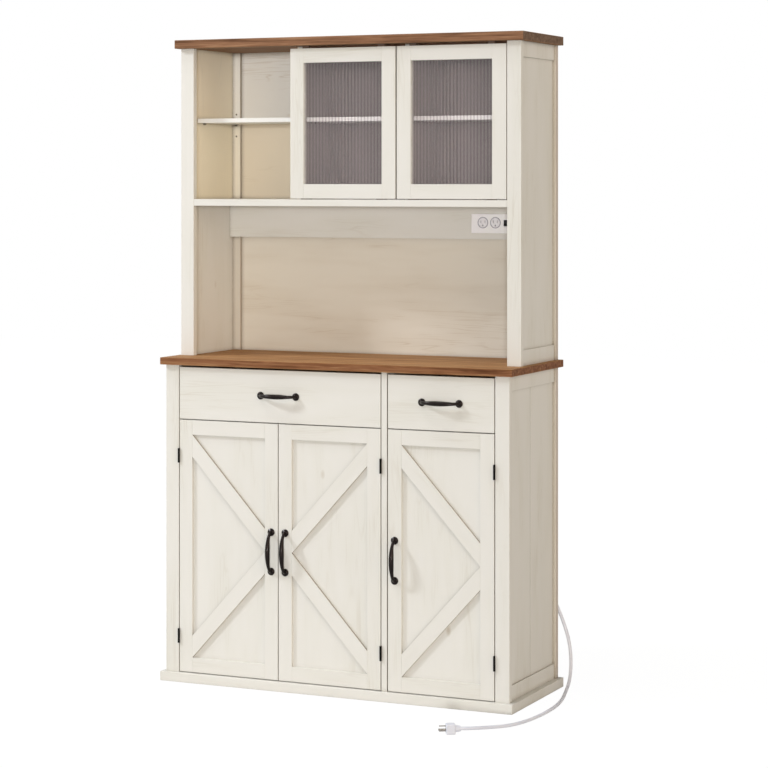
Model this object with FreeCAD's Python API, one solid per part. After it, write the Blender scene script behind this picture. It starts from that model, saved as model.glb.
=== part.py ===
import FreeCAD, Part
import math
import os

# Kitchen sideboard with an upper hutch, in millimetres.
# X runs to the right, Y to the back and Z up, as seen by someone standing in front.
# The origin is the middle of the plinth board's underside, on the floor.

os.makedirs("parts", exist_ok=True)
Vector = FreeCAD.Vector

# Driving sizes of the whole cabinet
overall_width = 1060.0
overall_depth = 390.0
worktop_overhang = 12.5
plinth_height = 26.0
base_height = 860.0
counter_thickness = 20.0
hutch_height = 870.0
cornice_thickness = 24.0
cornice_depth = 308.0
hutch_depth = 282.0
base_front_inset = 14.0
back_inset = 9.0

# Boards of the carcass
face_thickness = 18.0
front_post_width = 40.5
rear_post_width = 49.0
rear_post_thickness = 18.0
side_thickness = 15.0
side_rail_proud = 4.5
post_proud = 5.0
base_side_top_rail = 40.0
base_side_bottom_rail = 41.0
hutch_side_rail = 42.0
side_joint_offset = 158.0
side_joint_width = 2.0
side_joint_depth = 1.0
back_panel_thickness = 4.0
back_panel_inset = 3.0
back_groove_depth = 6.0
divider_thickness = 16.0
deck_thickness = 12.0
deck_setback = 2.0
deck_below_drawer = 1.6
big_edge = 1.5
board_edge = 0.8
thin_edge = 0.5

# Fronts of the base
front_gap = 3.0
door_bottom_gap = 2.0
drawer_front_height = 144.5
worktop_shadow_gap = 6.0

# Clearances and one overrun for every cut
fit_gap = 0.2
seat_gap = 0.3
slide_gap = 0.4
loose_gap = 1.0
cut_overrun = 2.0
same_plane = 0.001

# Levels and planes that several pieces share
half_width = overall_width / 2
body_x = half_width - worktop_overhang
opening_x = body_x - front_post_width
side_outer_x = body_x - post_proud - side_rail_proud
side_inner_x = side_outer_x - side_thickness
rear_post_inner_x = body_x - rear_post_width
front_y = -overall_depth / 2
back_y = overall_depth / 2
body_back = back_y - back_inset
base_front = front_y + base_front_inset
front_post_back = base_front + face_thickness
hutch_front = body_back - hutch_depth
hutch_post_back = hutch_front + face_thickness
rear_post_front = body_back - rear_post_thickness
back_panel_rear = body_back - back_panel_inset
back_panel_front = back_panel_rear - back_panel_thickness
counter_bottom = plinth_height + base_height
hutch_bottom = counter_bottom + counter_thickness
cornice_bottom = hutch_bottom + hutch_height


# Shapes that the pieces are made from

def box(x0, x1, y0, y1, z0, z1):
    """A block between two opposite corners, given in any order."""
    corner = Vector(min(x0, x1), min(y0, y1), min(z0, z1))
    return Part.makeBox(abs(x1 - x0), abs(y1 - y0), abs(z1 - z0), corner)


def board(x0, x1, y0, y1, z0, z1, edge):
    """A block with every edge eased by a small radius."""
    block = box(x0, x1, y0, y1, z0, z1)
    return block.makeFillet(edge, block.Edges)


def prism(points, along):
    """A flat outline pushed along a direction."""
    return Part.Face(Part.makePolygon(points + [points[0]])).extrude(along)


def rod(radius, start, end):
    """A round bar from one point to another."""
    return Part.makeCylinder(radius, (end - start).Length, start, end - start)


def ease_front(shape, plane_y, edge):
    """Chamfer the edges of a piece that lie in its front face."""
    chosen = [e for e in shape.Edges if all(abs(v.Y - plane_y) < same_plane for v in e.Vertexes)]
    return shape.makeChamfer(edge, chosen)


def mirrored(shape):
    """The same piece on the other side of the cabinet's middle."""
    return shape.mirror(Vector(0, 0, 0), Vector(1, 0, 0))


def save(name, solids):
    """Write one piece, or one group of like pieces, to its own file."""
    shape = solids[0] if len(solids) == 1 else Part.makeCompound(solids)
    shape.exportStep("parts/" + name + ".step")
    print(name, len(shape.Solids), "solids,", round(shape.Volume), "cubic mm")


# Shelf pins and their holes: each shelf lies on four pins
pin_radius = 2.5
pin_in = 6.0
pin_out = 7.0
pin_hole_gap = 0.1
pin_hole_depth = 6.5
pin_pitch = 32.0
pin_from_edge = 40.0
holes_each_way = 1


def shelf_pin(start, way):
    """One round pin, partly in its wall and partly under the shelf."""
    return rod(pin_radius, start - way * pin_in, start + way * pin_out)


def pin_hole_column(start, way, each_way):
    """The row of holes that a pin can be moved along."""
    radius = pin_radius + pin_hole_gap
    levels = [start + Vector(0, 0, step * pin_pitch) for step in range(-each_way, each_way + 1)]
    return [rod(radius, level - way * pin_hole_depth, level + way * cut_overrun) for level in levels]


# Places across the base: three equal doors, and a divider between the second and third
door_width = (2 * opening_x - 5 * front_gap - divider_thickness) / 3
left_door_x = -opening_x + front_gap
middle_door_x = left_door_x + door_width + front_gap
divider_left = middle_door_x + door_width + front_gap
divider_right = divider_left + divider_thickness
right_door_x = divider_right + front_gap
fronts_right = opening_x - front_gap
door_bottom = plinth_height + door_bottom_gap
drawer_top = counter_bottom - worktop_shadow_gap
drawer_bottom = drawer_top - drawer_front_height
door_top = drawer_bottom - front_gap
deck_top = drawer_bottom - deck_below_drawer
deck_bottom = deck_top - deck_thickness

# Shelves behind the doors
base_shelf_thickness = 15.0
base_shelf_top = 380.0
base_shelf_front = -140.0
shelf_back = rear_post_front - loose_gap
base_shelf_spans = [(-side_inner_x + loose_gap, divider_left - loose_gap),
                    (divider_right + loose_gap, side_inner_x - loose_gap)]

# Places in the hutch: one middle shelf, two sliding doors beside an open niche, two partitions
# and a loose shelf in each bay
middle_shelf_thickness = 19.0
middle_shelf_rise = 443.5
middle_shelf_top = hutch_bottom + middle_shelf_rise
middle_shelf_bottom = middle_shelf_top - middle_shelf_thickness
niche_opening = 306.5
glazed_gap_between = 5.0
glazed_post_gap = 2.5
glazed_width = (2 * opening_x - niche_opening - glazed_gap_between - glazed_post_gap) / 2
middle_glazed_x = -opening_x + niche_opening
right_glazed_x = middle_glazed_x + glazed_width + glazed_gap_between
partition_thickness = 15.0
left_partition_inset = 4.5
right_partition_inset = 9.0
partition_setback = 36.0
left_partition_x = middle_glazed_x + left_partition_inset
right_partition_x = right_glazed_x + right_partition_inset
hutch_shelf_thickness = 12.0
hutch_shelf_rise = 229.0
hutch_shelf_top = middle_shelf_top + hutch_shelf_rise
hutch_shelf_setback = 48.5
partition_front = hutch_front + partition_setback
hutch_shelf_front = hutch_front + hutch_shelf_setback
hutch_shelf_spans = [(-side_inner_x + loose_gap, left_partition_x - loose_gap),
                     (left_partition_x + partition_thickness + loose_gap, right_partition_x - loose_gap),
                     (right_partition_x + partition_thickness + loose_gap, side_inner_x - loose_gap)]

# Each pin: where it leaves its wall, the way it points and how many holes lie each way from it
pin_sites = []
post_pin_x = (rear_post_inner_x + side_inner_x) / 2
rear_pin_y = shelf_back - pin_from_edge
pin_drop = seat_gap + pin_radius
for x0, x1 in base_shelf_spans:
    level = base_shelf_top - base_shelf_thickness - pin_drop
    for face, side_way in ((x0 - loose_gap, 1), (x1 + loose_gap, -1)):
        for y in (base_shelf_front + pin_from_edge, rear_pin_y):
            pin_sites.append((Vector(face, y, level), Vector(side_way, 0, 0), holes_each_way))
for x0, x1 in hutch_shelf_spans:
    level = hutch_shelf_top - hutch_shelf_thickness - pin_drop
    front_y_of_pins = hutch_shelf_front + pin_from_edge
    for face, side_way in ((x0 - loose_gap, 1), (x1 + loose_gap, -1)):
        pin_sites.append((Vector(face, front_y_of_pins, level), Vector(side_way, 0, 0), 0))
        if abs(face) > rear_post_inner_x:
            post_face = Vector(-side_way * post_pin_x, rear_post_front, level)
            pin_sites.append((post_face, Vector(0, -1, 0), holes_each_way))
        else:
            pin_sites.append((Vector(face, rear_pin_y, level), Vector(side_way, 0, 0), holes_each_way))
pins = [shelf_pin(start, way) for start, way, each_way in pin_sites]
pin_holes = [pin_hole_column(start, way, each_way) for start, way, each_way in pin_sites]
hole_cutter = Part.makeCompound([hole for column in pin_holes for hole in column])
save("shelf_pins", pins)


# Plinth board, worktop and cornice board
save("plinth_board", [board(-half_width, half_width, front_y, back_y, 0, plinth_height, big_edge)])
worktop = board(-half_width, half_width, front_y, back_y, counter_bottom, hutch_bottom, big_edge)
save("countertop", [worktop])

# Two glazed doors slide on one line of track between the front posts
track_width = 12.0
track_slot_width = 6.4
bottom_track_height = 5.0
bottom_slot_depth = 4.0
top_track_height = 12.0
top_slot_depth = 11.0
track_end_gap = 0.5
track_y = hutch_front + face_thickness / 2
track_x = opening_x - track_end_gap


def track_groove(z0, z1):
    """The groove in a board that a track strip lies in."""
    return box(-track_x, track_x, track_y - track_width / 2, track_y + track_width / 2, z0, z1)


def track_strip(z0, z1, slot_z0, slot_z1):
    """A strip the width of its groove, with a slot along its middle."""
    slot = box(-track_x, track_x, track_y - track_slot_width / 2, track_y + track_slot_width / 2,
               slot_z0, slot_z1)
    return track_groove(z0, z1).cut(slot)


cornice_top = cornice_bottom + cornice_thickness
cornice_front = back_y - cornice_depth
cornice = board(-half_width, half_width, cornice_front, back_y, cornice_bottom, cornice_top, big_edge)
save("cornice_board", [cornice.cut(track_groove(cornice_bottom, cornice_bottom + top_track_height))])
save("door_tracks", [
    track_strip(middle_shelf_top - bottom_track_height, middle_shelf_top,
                middle_shelf_top - bottom_slot_depth, middle_shelf_top),
    track_strip(cornice_bottom, cornice_bottom + top_track_height,
                cornice_bottom, cornice_bottom + top_slot_depth)])


# Posts: two in front and two behind in the base, and the same again in the hutch
base_post = board(opening_x, body_x, base_front, front_post_back,
                  plinth_height, counter_bottom, board_edge)
hutch_post = board(opening_x, body_x, hutch_front, hutch_post_back,
                   hutch_bottom, cornice_bottom, board_edge)
save("base_posts_front", [mirrored(base_post), base_post])
save("hutch_post_front_left", [mirrored(hutch_post)])
save("hutch_post_front_right", [hutch_post])


def rear_post(z0, z1):
    """A rear post, grooved on its inner edge for the back panel."""
    post = board(rear_post_inner_x, body_x, rear_post_front, body_back, z0, z1, board_edge)
    groove = box(rear_post_inner_x - cut_overrun, rear_post_inner_x + back_groove_depth + fit_gap,
                 back_panel_front - fit_gap / 2, back_panel_rear + fit_gap / 2, z0, z1)
    return post.cut(groove)


rear_post_pair = [rear_post(plinth_height, counter_bottom), rear_post(hutch_bottom, cornice_bottom)]
rear_post_set = rear_post_pair + [mirrored(post) for post in rear_post_pair]
save("rear_posts", [post.cut(hole_cutter) for post in rear_post_set])


# Side panels, each with a flat rail along its top and its bottom
def side(front, z0, z1, top_rail, bottom_rail):
    """A side panel on the right, its rails standing proud of it on the outside."""
    panel = box(side_inner_x, side_outer_x, front, rear_post_front, z0, z1)
    rail_x = side_outer_x + side_rail_proud
    for low, high in ((z0, z0 + bottom_rail), (z1 - top_rail, z1)):
        rail = box(side_outer_x, rail_x, front, rear_post_front, low, high)
        panel = panel.fuse(rail)
    return panel.removeSplitter()


base_side = side(front_post_back, plinth_height, counter_bottom, base_side_top_rail, base_side_bottom_rail)
joint_y = front_post_back + side_joint_offset
base_side = base_side.cut(box(side_outer_x - side_joint_depth, side_outer_x,
                              joint_y - side_joint_width / 2, joint_y + side_joint_width / 2,
                              plinth_height + base_side_bottom_rail, counter_bottom - base_side_top_rail))
hutch_side = side(hutch_post_back, hutch_bottom, cornice_bottom, hutch_side_rail, hutch_side_rail)
save("base_side_left", [mirrored(base_side).cut(hole_cutter)])
save("base_side_right", [base_side.cut(hole_cutter)])
save("hutch_side_left", [mirrored(hutch_side).cut(hole_cutter)])
save("hutch_side_right", [hutch_side.cut(hole_cutter)])


# Inside of the base
divider = box(divider_left, divider_right, base_front, back_panel_front, plinth_height, counter_bottom)
save("base_divider", [divider.cut(hole_cutter)])
back_panel_x = rear_post_inner_x + back_groove_depth
save("base_back_panel", [box(-back_panel_x, back_panel_x, back_panel_front, back_panel_rear,
                             plinth_height, counter_bottom)])
deck_front = front_post_back + deck_setback
save("drawer_decks", [
    box(-side_inner_x, divider_left, deck_front, rear_post_front, deck_bottom, deck_top),
    box(divider_right, side_inner_x, deck_front, rear_post_front, deck_bottom, deck_top)])
save("base_shelves", [board(x0, x1, base_shelf_front, shelf_back,
                            base_shelf_top - base_shelf_thickness, base_shelf_top, thin_edge)
                      for x0, x1 in base_shelf_spans])


# Outlet unit: plate, sockets and switch in front of the rail, and a box behind it
outlet_rail_thickness = 15.0
outlet_rail_height = 92.5
outlet_plate_from_post = 204.5
outlet_plate_width = 140.0
outlet_plate_height = 54.0
outlet_plate_thickness = 3.5
outlet_plate_drop = 21.5
outlet_box_width = 121.0
outlet_box_height = 40.0
outlet_box_depth = 52.0
outlet_box_margin = 9.5
socket_diameter = 31.5
socket_depth = 16.0
socket_proud = 0.6
socket_offsets = (35.0, 72.5)
socket_rise = 29.5
socket_rim = 2.5
blade_slot_width = 1.8
blade_slot_height = 8.0
blade_spacing = 12.7
blade_slot_rise = 3.0
earth_hole_radius = 2.6
earth_hole_drop = 8.0
slot_depth = 10.0
switch_offset = 104.0
switch_rise = 28.25
switch_pocket_width = 13.0
switch_pocket_height = 18.0
switch_pocket_depth = 12.0
switch_side_gap = 0.3
switch_height = 16.4
switch_back_height = 10.0
switch_proud = 1.4
switch_pivot_depth = 5.0
switch_body_depth = 9.5
switch_dish = 0.8
switch_axle_radius = 1.0
switch_axle_in = 1.2
switch_axle_gap = 0.05
switch_tilt = 6.0

outlet_plate_x = opening_x - outlet_plate_from_post
outlet_plate_bottom = middle_shelf_bottom - outlet_plate_drop - outlet_plate_height
outlet_rail_front = rear_post_front - outlet_rail_thickness
outlet_rail_bottom = middle_shelf_bottom - outlet_rail_height
plate_front = outlet_rail_front - outlet_plate_thickness
outlet_box_x = outlet_plate_x + outlet_box_margin
outlet_box_z = outlet_plate_bottom + (outlet_plate_height - outlet_box_height) / 2
outlet_box_top = outlet_box_z + outlet_box_height
outlet_box_back = outlet_rail_front + outlet_box_depth
socket_z = outlet_plate_bottom + socket_rise
socket_places = [outlet_plate_x + offset for offset in socket_offsets]
switch_x = outlet_plate_x + switch_offset
switch_z = outlet_plate_bottom + switch_rise
switch_pivot_y = plate_front + switch_pivot_depth
outlet_hole = box(outlet_box_x - fit_gap, outlet_box_x + outlet_box_width + fit_gap,
                  outlet_rail_front - cut_overrun, outlet_box_back,
                  outlet_box_z - fit_gap, outlet_box_top + fit_gap)
switch_pocket = box(switch_x - switch_pocket_width / 2, switch_x + switch_pocket_width / 2,
                    plate_front - cut_overrun, outlet_rail_front + switch_pocket_depth,
                    switch_z - switch_pocket_height / 2, switch_z + switch_pocket_height / 2)
switch_axle_reach = switch_pocket_width / 2 + switch_axle_in


def socket_cylinder(x, diameter, y0, y1):
    """A round plug of the given diameter where a socket sits."""
    return rod(diameter / 2, Vector(x, y0, socket_z), Vector(x, y1, socket_z))


def socket_seats():
    """The two round seats that the sockets are pushed into."""
    return [socket_cylinder(x, socket_diameter + fit_gap, plate_front - cut_overrun,
                            outlet_rail_front + socket_depth) for x in socket_places]


def socket(x):
    """A three-pin socket: a raised rim, two blade slots and a round earth hole."""
    face_y = plate_front - socket_proud
    body = socket_cylinder(x, socket_diameter, face_y, outlet_rail_front + socket_depth)
    body = body.cut(socket_cylinder(x, socket_diameter - 2 * socket_rim, face_y, plate_front))
    for way in (-1, 1):
        middle = x + way * blade_spacing / 2
        low = socket_z + blade_slot_rise - blade_slot_height / 2
        body = body.cut(box(middle - blade_slot_width / 2, middle + blade_slot_width / 2,
                            face_y, plate_front + slot_depth, low, low + blade_slot_height))
    earth_start = Vector(x, face_y, socket_z - earth_hole_drop)
    earth_end = Vector(x, plate_front + slot_depth, socket_z - earth_hole_drop)
    return body.cut(rod(earth_hole_radius, earth_start, earth_end))


def rocker():
    """The switch rocker, dished in front and narrower behind, resting tilted to one side."""
    x0 = switch_x - switch_pocket_width / 2 + switch_side_gap
    front = plate_front - switch_proud
    middle = front + switch_dish
    back = plate_front + switch_body_depth
    half = switch_height / 2
    half_back = switch_back_height / 2
    outline = [(front, half), (middle, 0), (front, -half), (switch_pivot_y, -half),
               (back, -half_back), (back, half_back), (switch_pivot_y, half)]
    points = [Vector(x0, y, switch_z + z) for y, z in outline]
    body = prism(points, Vector(switch_pocket_width - 2 * switch_side_gap, 0, 0))
    pivot = Vector(switch_x, switch_pivot_y, switch_z)
    reach = Vector(switch_axle_reach, 0, 0)
    body = body.fuse(rod(switch_axle_radius, pivot - reach, pivot + reach))
    body.rotate(pivot, Vector(1, 0, 0), -switch_tilt)
    return body


rail = box(-side_inner_x, side_inner_x, outlet_rail_front, rear_post_front,
           outlet_rail_bottom, middle_shelf_bottom)
save("outlet_rail", [rail.cut(outlet_hole)])
hutch_back = box(-back_panel_x, back_panel_x, back_panel_front, back_panel_rear,
                 hutch_bottom, cornice_bottom)
save("hutch_back_panel", [hutch_back.cut(outlet_hole)])
axle_bore = rod(switch_axle_radius + switch_axle_gap,
                Vector(switch_x - switch_axle_reach - fit_gap, switch_pivot_y, switch_z),
                Vector(switch_x + switch_axle_reach + fit_gap, switch_pivot_y, switch_z))
plate = box(outlet_plate_x, outlet_plate_x + outlet_plate_width, plate_front, outlet_rail_front,
            outlet_plate_bottom, outlet_plate_bottom + outlet_plate_height)
plate = ease_front(plate, plate_front, board_edge)
plate = plate.cut(Part.makeCompound(socket_seats() + [switch_pocket]))
save("outlet_plate", [plate.cut(axle_bore)])
outlet_block = box(outlet_box_x, outlet_box_x + outlet_box_width, outlet_rail_front, outlet_box_back,
                   outlet_box_z, outlet_box_top)
outlet_block = outlet_block.cut(Part.makeCompound(socket_seats() + [switch_pocket]))
save("outlet_box", [outlet_block.cut(axle_bore)])
save("outlet_sockets", [socket(x) for x in socket_places])
save("outlet_switch", [rocker()])


# Middle shelf, partitions and loose shelves of the hutch
def middle_shelf():
    """A shelf that runs between the front posts, the sides and the rear posts."""
    right = [(opening_x, hutch_front), (opening_x, hutch_post_back), (side_inner_x, hutch_post_back),
             (side_inner_x, rear_post_front), (rear_post_inner_x, rear_post_front),
             (rear_post_inner_x, back_panel_front)]
    outline = right + [(-x, y) for x, y in reversed(right)]
    points = [Vector(x, y, middle_shelf_bottom) for x, y in outline]
    slab = prism(points, Vector(0, 0, middle_shelf_thickness))
    slab = ease_front(slab, hutch_front, board_edge)
    return slab.cut(track_groove(middle_shelf_top - bottom_track_height, middle_shelf_top))


save("hutch_middle_shelf", [middle_shelf()])
save("hutch_partitions", [
    box(x, x + partition_thickness, partition_front, back_panel_front,
        middle_shelf_top, cornice_bottom).cut(hole_cutter)
    for x in (left_partition_x, right_partition_x)])
save("hutch_shelves", [board(x0, x1, hutch_shelf_front, shelf_back,
                             hutch_shelf_top - hutch_shelf_thickness, hutch_shelf_top, thin_edge)
                       for x0, x1 in hutch_shelf_spans])


# Arched pull handles: a spindle-shaped bar on two round feet
handle_centres = 108.0
handle_foot_diameter = 21.0
handle_foot_thickness = 4.5
handle_foot_rim = 1.6
handle_foot_top_share = 0.55
handle_bar_height = 23.5
handle_bar_radius = 6.8
# Stations from a foot to the middle: shares of the half length, the bar's height and its radius
handle_shares = [(1.00, 0.13, 0.74), (0.93, 0.40, 0.62), (0.82, 0.64, 0.62),
                 (0.65, 0.81, 0.71), (0.37, 0.94, 0.91), (0.00, 1.00, 1.00)]


def handle_foot(middle):
    """A domed disc with its flat side on the front board."""
    radius = handle_foot_diameter / 2
    top = radius * handle_foot_top_share
    profile = [Vector(0, 0, 0), Vector(radius, 0, 0), Vector(radius, -handle_foot_rim, 0),
               Vector(top, -handle_foot_thickness, 0), Vector(0, -handle_foot_thickness, 0)]
    half_section = Part.Face(Part.makePolygon(profile + [profile[0]]))
    dome = half_section.revolve(Vector(0, 0, 0), Vector(0, 1, 0), 360)
    dome.translate(middle)
    return dome


def upright_handle():
    """A handle that stands upright on the plane Y = 0, with its middle at the origin."""
    half = handle_centres / 2
    upper = [(along * half, rise * handle_bar_height, thick * handle_bar_radius)
             for along, rise, thick in handle_shares]
    stations = upper + [(-along, rise, radius) for along, rise, radius in reversed(upper[:-1])]
    centres = [Vector(0, -rise, along) for along, rise, radius in stations]
    rings = []
    for n, (along, rise, radius) in enumerate(stations):
        heading = centres[min(n + 1, len(centres) - 1)] - centres[max(n - 1, 0)]
        rings.append(Part.Wire(Part.makeCircle(radius, centres[n], heading)))
    bar = Part.makeLoft(rings, True)
    return bar.fuse(handle_foot(Vector(0, 0, half))).fuse(handle_foot(Vector(0, 0, -half)))


def handle(x, z, upright):
    """A handle on the front plane of the base, upright on a door or level on a drawer."""
    shape = upright_handle()
    if not upright:
        shape.rotate(Vector(0, 0, 0), Vector(0, 1, 0), 90)
    shape.translate(Vector(x, base_front, z))
    return shape


# Hinges: each has a fixed half with the pin and a moving half with the middle knuckle
knuckle_radius = 3.0
knuckle_length = 40.0
hinge_pin_radius = 1.5
hinge_bore_gap = 0.05
leaf_thickness = 1.2
leaf_depth = 19.0
hinge_from_end = 100.0
hinge_pin_y = base_front - knuckle_radius
hinge_levels = (door_bottom + hinge_from_end, door_top - hinge_from_end)


def hinge_leaf(pin_x, way, z):
    """A flat leaf in the gap beside a door, on the side of the pin that way points to."""
    face = pin_x + way * front_gap / 2
    return box(face, face - way * leaf_thickness, hinge_pin_y + knuckle_radius + fit_gap,
               hinge_pin_y + leaf_depth, z, z + knuckle_length)


def knuckle(pin_x, way, z0, z1):
    """A round knuckle with the strap that joins it to its leaf."""
    face = pin_x + way * front_gap / 2
    barrel = rod(knuckle_radius, Vector(pin_x, hinge_pin_y, z0), Vector(pin_x, hinge_pin_y, z1))
    strap_back = hinge_pin_y + knuckle_radius + fit_gap
    return barrel.fuse(box(face, face - way * leaf_thickness, hinge_pin_y, strap_back, z0, z1))


def hinge(pin_x, door_way, middle_z):
    """The fixed half and the moving half of one butt hinge."""
    z = middle_z - knuckle_length / 2
    third = knuckle_length / 3
    ends = Vector(pin_x, hinge_pin_y, z), Vector(pin_x, hinge_pin_y, z + knuckle_length)
    fixed = hinge_leaf(pin_x, -door_way, z).fuse([
        knuckle(pin_x, -door_way, z, z + third),
        knuckle(pin_x, -door_way, z + 2 * third, z + knuckle_length),
        rod(hinge_pin_radius, *ends)])
    moving = hinge_leaf(pin_x, door_way, z).fuse([
        knuckle(pin_x, door_way, z + third + fit_gap, z + 2 * third - fit_gap)])
    return fixed, moving.cut(rod(hinge_pin_radius + hinge_bore_gap, *ends))


# Doors of the base: a panel with an applied frame and two braces
trim_thickness = 7.0
stile_width = 40.0
rail_width = 41.0
brace_rise = 62.0
handle_z = (door_bottom + door_top) / 2


def door_trim(x0, x1, apex_way):
    """Stiles, rails and two braces that meet at the stile that apex_way points to."""
    trim_back = base_front + trim_thickness
    z0, z1 = door_bottom, door_top
    inner_x0, inner_x1 = x0 + stile_width, x1 - stile_width
    inner_z0, inner_z1 = z0 + rail_width, z1 - rail_width
    far, near = (inner_x0, inner_x1) if apex_way > 0 else (inner_x1, inner_x0)
    middle = (z0 + z1) / 2
    boards = [box(x0, inner_x0, base_front, trim_back, z0, z1),
              box(inner_x1, x1, base_front, trim_back, z0, z1),
              box(inner_x0, inner_x1, base_front, trim_back, z0, inner_z0),
              box(inner_x0, inner_x1, base_front, trim_back, inner_z1, z1)]
    for end, way in ((inner_z1, -1), (inner_z0, 1)):
        outline = [(far, end), (far, end + way * brace_rise),
                   (near, middle), (near, middle - way * brace_rise)]
        corners = [Vector(x, base_front, z) for x, z in outline]
        boards.append(prism(corners, Vector(0, trim_thickness, 0)))
    return [ease_front(piece, base_front, thin_edge) for piece in boards]


fixed_hinge_halves = []


def door(name, x0, hinge_way, apex_way):
    """One door; hinge_way is the side that its hinges are on."""
    x1 = x0 + door_width
    save(name + "_panel", [board(x0, x1, base_front + trim_thickness, front_post_back,
                                 door_bottom, door_top, thin_edge)])
    save(name + "_trim", door_trim(x0, x1, apex_way))
    handle_x = x1 - stile_width / 2 if hinge_way < 0 else x0 + stile_width / 2
    save(name + "_handle", [handle(handle_x, handle_z, True)])
    pin_x = x0 - front_gap / 2 if hinge_way < 0 else x1 + front_gap / 2
    halves = [hinge(pin_x, -hinge_way, level) for level in hinge_levels]
    fixed_hinge_halves.extend(fixed for fixed, moving in halves)
    save(name + "_hinge_leaves", [moving for fixed, moving in halves])
    print(name, "pin at", round(pin_x, 3), round(hinge_pin_y, 3))


door("door_left", left_door_x, -1, 1)
door("door_middle", middle_door_x, 1, -1)
door("door_right", right_door_x, 1, 1)
save("hinge_fixed_halves", fixed_hinge_halves)


# Drawers: each is carried by a wooden runner between two guide strips on its sides
drawer_side_space = 13.0
drawer_side_thickness = 12.0
drawer_box_height = 100.0
drawer_box_length = 300.0
drawer_box_drop = 16.5
drawer_base_thickness = 4.0
drawer_base_rise = 6.0
drawer_base_groove = 5.0
drawer_handle_drop = 73.5
runner_height = 18.0
runner_rise = 41.0
guide_height = 12.0
batten_height = 60.0
box_bottom = drawer_bottom + drawer_box_drop
box_back = front_post_back + drawer_box_length
runner_bottom = box_bottom + runner_rise
runner_top = runner_bottom + runner_height
runner_thickness = drawer_side_space - slide_gap


def drawer_box(x0, x1):
    """Two sides, an inner front, a back and a bottom panel let into grooves."""
    inner_x0, inner_x1 = x0 + drawer_side_thickness, x1 - drawer_side_thickness
    inner_y0, inner_y1 = front_post_back + drawer_side_thickness, box_back - drawer_side_thickness
    top = box_bottom + drawer_box_height
    floor_z = box_bottom + drawer_base_rise
    floor = box(inner_x0 - drawer_base_groove, inner_x1 + drawer_base_groove,
                inner_y0 - drawer_base_groove, inner_y1 + drawer_base_groove,
                floor_z, floor_z + drawer_base_thickness)
    groove = box(inner_x0 - drawer_base_groove - fit_gap, inner_x1 + drawer_base_groove + fit_gap,
                 inner_y0 - drawer_base_groove - fit_gap, inner_y1 + drawer_base_groove + fit_gap,
                 floor_z - fit_gap / 2, floor_z + drawer_base_thickness + fit_gap / 2)
    walls = [box(x0, inner_x0, front_post_back, box_back, box_bottom, top),
             box(inner_x1, x1, front_post_back, box_back, box_bottom, top),
             box(inner_x0, inner_x1, front_post_back, inner_y0, box_bottom, top),
             box(inner_x0, inner_x1, inner_y1, box_back, box_bottom, top)]
    return [wall.cut(groove) for wall in walls] + [floor]


def drawer_guides(x0, x1):
    """The upper and lower guide strips on both sides of a drawer."""
    levels = [(runner_top + seat_gap, runner_top + seat_gap + guide_height),
              (runner_bottom - slide_gap - guide_height, runner_bottom - slide_gap)]
    return [box(face, face + way * runner_thickness, front_post_back, box_back, low, high)
            for face, way in ((x0, -1), (x1, 1))
            for low, high in levels]


def drawer(name, front_x0, front_x1, wall_x0, wall_x1):
    """One drawer between the two walls that carry its runners."""
    x0, x1 = wall_x0 + drawer_side_space, wall_x1 - drawer_side_space
    save(name + "_front", [board(front_x0, front_x1, base_front, front_post_back,
                                 drawer_bottom, drawer_top, board_edge)])
    save(name + "_box", drawer_box(x0, x1))
    save(name + "_guides", drawer_guides(x0, x1))
    save(name + "_handle", [handle((front_x0 + front_x1) / 2, drawer_bottom + drawer_handle_drop, False)])


drawer("drawer_wide", left_door_x, divider_left - front_gap, -opening_x, divider_left)
drawer("drawer_narrow", right_door_x, fronts_right, divider_right, opening_x)
runner_middle = (runner_bottom + runner_top) / 2
batten = box(opening_x, side_inner_x, front_post_back, box_back,
             runner_middle - batten_height / 2, runner_middle + batten_height / 2)
save("runner_battens", [mirrored(batten), batten])
save("drawer_runners", [
    box(wall, wall + way * runner_thickness, deck_front, box_back, runner_bottom, runner_top)
    for wall, way in ((-opening_x, 1), (divider_left, -1), (divider_right, 1), (opening_x, -1))])


# Glazed doors: a frame of four members round a pane of reeded glass
glazed_gap_below = 2.5
glazed_gap_above = 7.5
glazed_stile = 41.0
glazed_rail = 40.0
glass_engagement = 4.0
glass_groove_depth = 5.0
glass_thickness = 4.0
glass_setback = 7.0
reed_count = 25
reed_height = 0.8
glide_length = 30.0
glide_thickness = 6.0
glide_from_end = 45.0
guide_pin_length = 20.0
guide_pin_rise = 14.5
glazed_bottom = middle_shelf_top + glazed_gap_below
glazed_top = cornice_bottom - glazed_gap_above


def reeded_pane(x0, x1, z0, z1):
    """A pane whose front is a row of upright rounded reeds."""
    pitch = (x1 - x0) / reed_count
    crest = hutch_front + glass_setback
    valley = crest + reed_height
    back = crest + glass_thickness
    edges = []
    for n in range(reed_count):
        start = Vector(x0 + n * pitch, valley, z0)
        middle = Vector(x0 + (n + 1 / 2) * pitch, crest, z0)
        end = Vector(x0 + (n + 1) * pitch, valley, z0)
        edges.append(Part.Arc(start, middle, end).toShape())
    rim = [Vector(x1, valley, z0), Vector(x1, back, z0), Vector(x0, back, z0), Vector(x0, valley, z0)]
    edges += [Part.makeLine(a, b) for a, b in zip(rim, rim[1:])]
    return Part.Face(Part.Wire(edges)).extrude(Vector(0, 0, z1 - z0))


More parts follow.
